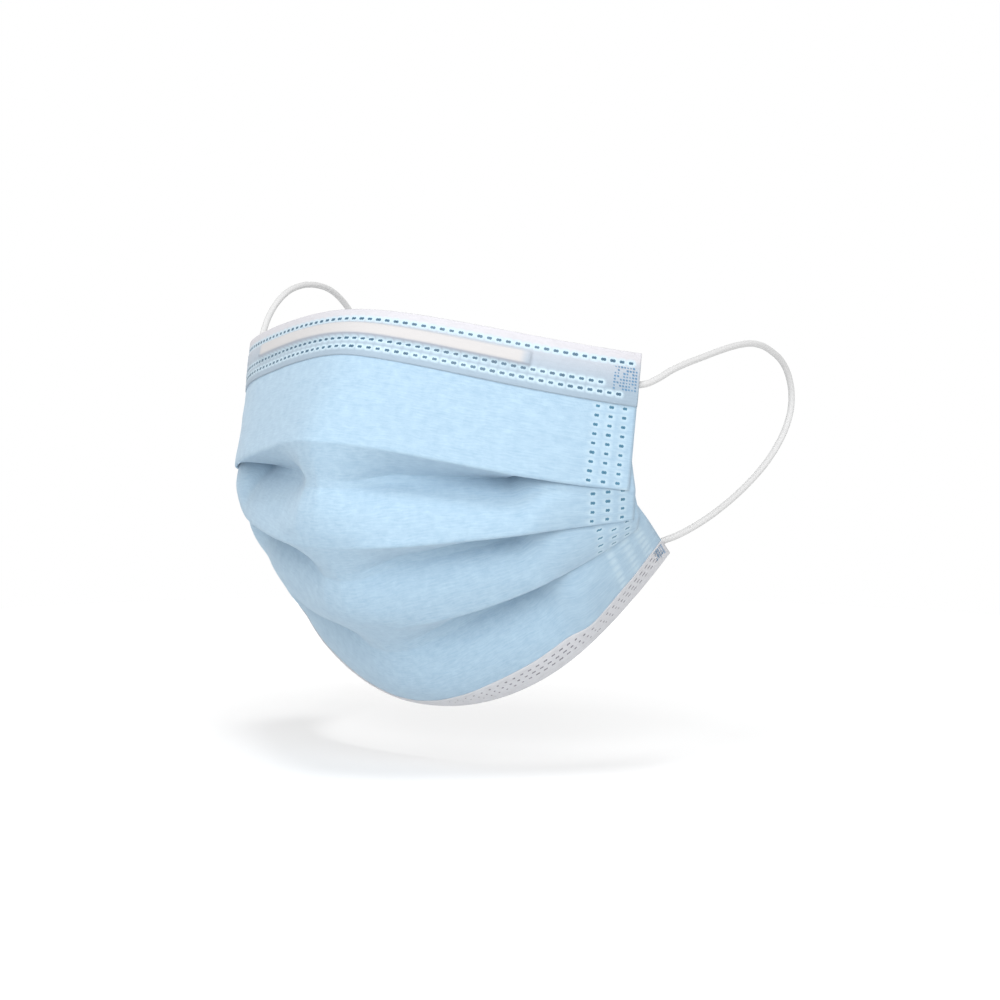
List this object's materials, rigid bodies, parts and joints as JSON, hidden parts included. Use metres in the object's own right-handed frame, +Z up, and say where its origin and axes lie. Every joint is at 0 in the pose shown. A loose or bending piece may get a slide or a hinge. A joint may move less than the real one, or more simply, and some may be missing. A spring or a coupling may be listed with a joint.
{
  "type": "pleated surgical face mask, shown worn",
  "caption": "Pleated disposable face mask in its worn shape, open over the face, with folded hems, a bendable nose wire and round elastic ear loops.",
  "frame": {"origin": "middle of the top edge, on the wearer's side, where the mask sits on the bridge of the nose", "axes": "+X towards the wearer's left, +Y towards the wearer, +Z up"},
  "size_m": [0.1621, 0.1564, 0.1366],
  "materials": {
    "blue_nonwoven": "soft matte spunbond nonwoven, light blue outside and white on the wearer's side",
    "white_nonwoven": "matte white spunbond nonwoven with ultrasonic weld dashes",
    "grey_nonwoven": "matte greyish white spunbond nonwoven with ultrasonic weld dashes",
    "wire_coating": "smooth cream plastic round a soft wire",
    "white_elastic": "knitted white elastic"
  },
  "bodies": {
    "root": {"pleated_panel": "blue_nonwoven", "top_hem": "white_nonwoven", "bottom_hem": "grey_nonwoven", "nose_wire": "wire_coating", "ear_loop_left": "white_elastic", "ear_loop_right": "white_elastic", "loop_end_upper_left": "white_elastic", "loop_end_lower_left": "white_elastic", "loop_end_upper_right": "white_elastic", "loop_end_lower_right": "white_elastic"}
  },
  "joints": []
}
